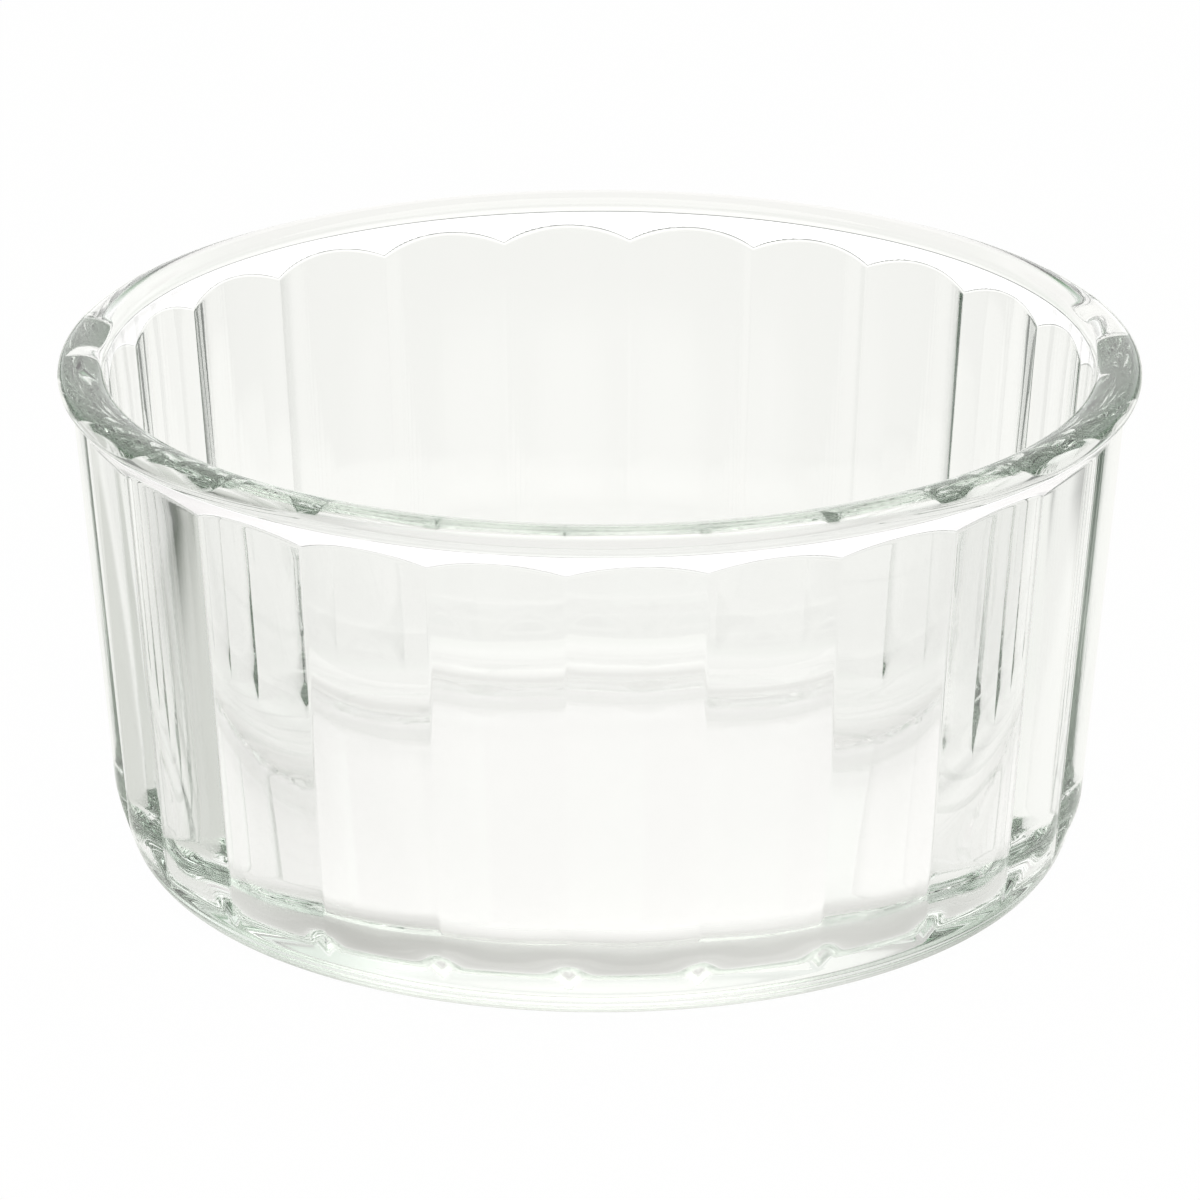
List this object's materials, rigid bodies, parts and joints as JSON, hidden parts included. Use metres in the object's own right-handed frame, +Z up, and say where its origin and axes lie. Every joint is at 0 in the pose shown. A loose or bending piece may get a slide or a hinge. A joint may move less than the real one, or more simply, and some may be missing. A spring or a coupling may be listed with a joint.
{
  "type": "ramekin",
  "caption": "Round pressed-glass ramekin with a tapering fluted outside, smooth inside, rounded base corner and beaded rim, for baking and serving a small portion.",
  "frame": {"origin": "middle of the flat underside, on the surface that the ramekin stands on", "axes": "+Z up along the ramekin's own axis; a flute crest lies on +X"},
  "size_m": [0.1, 0.1, 0.0494],
  "materials": {
    "glass": "fire-polished pressed soda-lime glass, clear with a faint green cast in thick sections"
  },
  "bodies": {
    "root": {"base": "glass", "fluted_wall": "glass", "rim_bead": "glass"}
  },
  "joints": []
}
